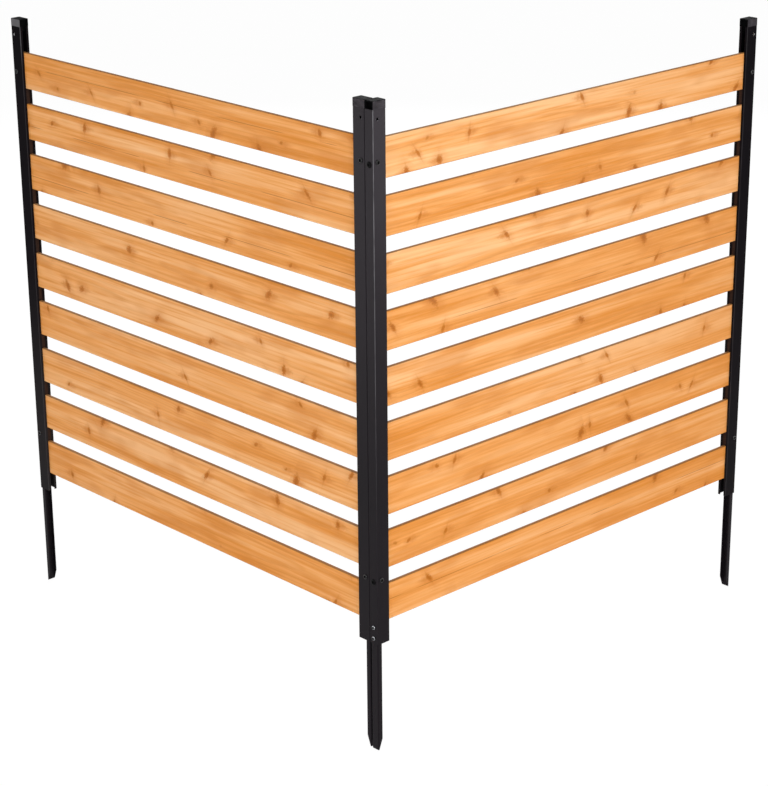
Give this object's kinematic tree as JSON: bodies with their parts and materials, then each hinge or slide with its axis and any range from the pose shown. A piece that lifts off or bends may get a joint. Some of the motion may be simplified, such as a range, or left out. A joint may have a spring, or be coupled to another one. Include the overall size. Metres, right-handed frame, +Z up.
{
  "type": "privacy fence",
  "caption": "Corner privacy fence of horizontal wooden slats held in black steel channel posts, capped on top and standing on ground stakes.",
  "frame": {"origin": "outer corner of the fence at ground level, where the feet of the two corner posts stand", "axes": "+X along the right panel, +Y along the left panel, +Z up"},
  "size_m": [1.2514, 1.2762, 1.477],
  "materials": {
    "slat_wood": "stained softwood, satin",
    "spacer_wood": "dark stained softwood",
    "post_steel": "black powder coat",
    "stake_steel": "black powder coat",
    "cap_plastic": "black moulded plastic",
    "stake_screw_zinc": "bright zinc plate",
    "black_screw": "black oxide"
  },
  "bodies": {
    "root": {"right_corner_post": "post_steel", "right_corner_cap": "cap_plastic", "right_corner_stake": "stake_steel", "right_corner_spacers": "spacer_wood", "right_corner_stake_screws": "stake_screw_zinc", "right_corner_flange_screws": "black_screw", "right_corner_web_screws": "black_screw", "right_end_post": "post_steel", "right_end_cap": "cap_plastic", "right_end_stake": "stake_steel", "right_end_spacers": "spacer_wood", "right_end_stake_screws": "stake_screw_zinc", "right_end_flange_screws": "black_screw", "right_end_web_screws": "black_screw", "right_slat_1": "slat_wood", "right_slat_2": "slat_wood", "right_slat_3": "slat_wood", "right_slat_4": "slat_wood", "right_slat_5": "slat_wood", "right_slat_6": "slat_wood", "right_slat_7": "slat_wood", "right_slat_8": "slat_wood", "right_slat_9": "slat_wood", "left_corner_post": "post_steel", "left_corner_cap": "cap_plastic", "left_corner_stake": "stake_steel", "left_corner_spacers": "spacer_wood", "left_corner_stake_screws": "stake_screw_zinc", "left_corner_flange_screws": "black_screw", "left_corner_web_screws": "black_screw", "left_end_post": "post_steel", "left_end_cap": "cap_plastic", "left_end_stake": "stake_steel", "left_end_spacers": "spacer_wood", "left_end_stake_screws": "stake_screw_zinc", "left_end_flange_screws": "black_screw", "left_end_web_screws": "black_screw", "left_slat_1": "slat_wood", "left_slat_2": "slat_wood", "left_slat_3": "slat_wood", "left_slat_4": "slat_wood", "left_slat_5": "slat_wood", "left_slat_6": "slat_wood", "left_slat_7": "slat_wood", "left_slat_8": "slat_wood", "left_slat_9": "slat_wood"}
  },
  "joints": []
}
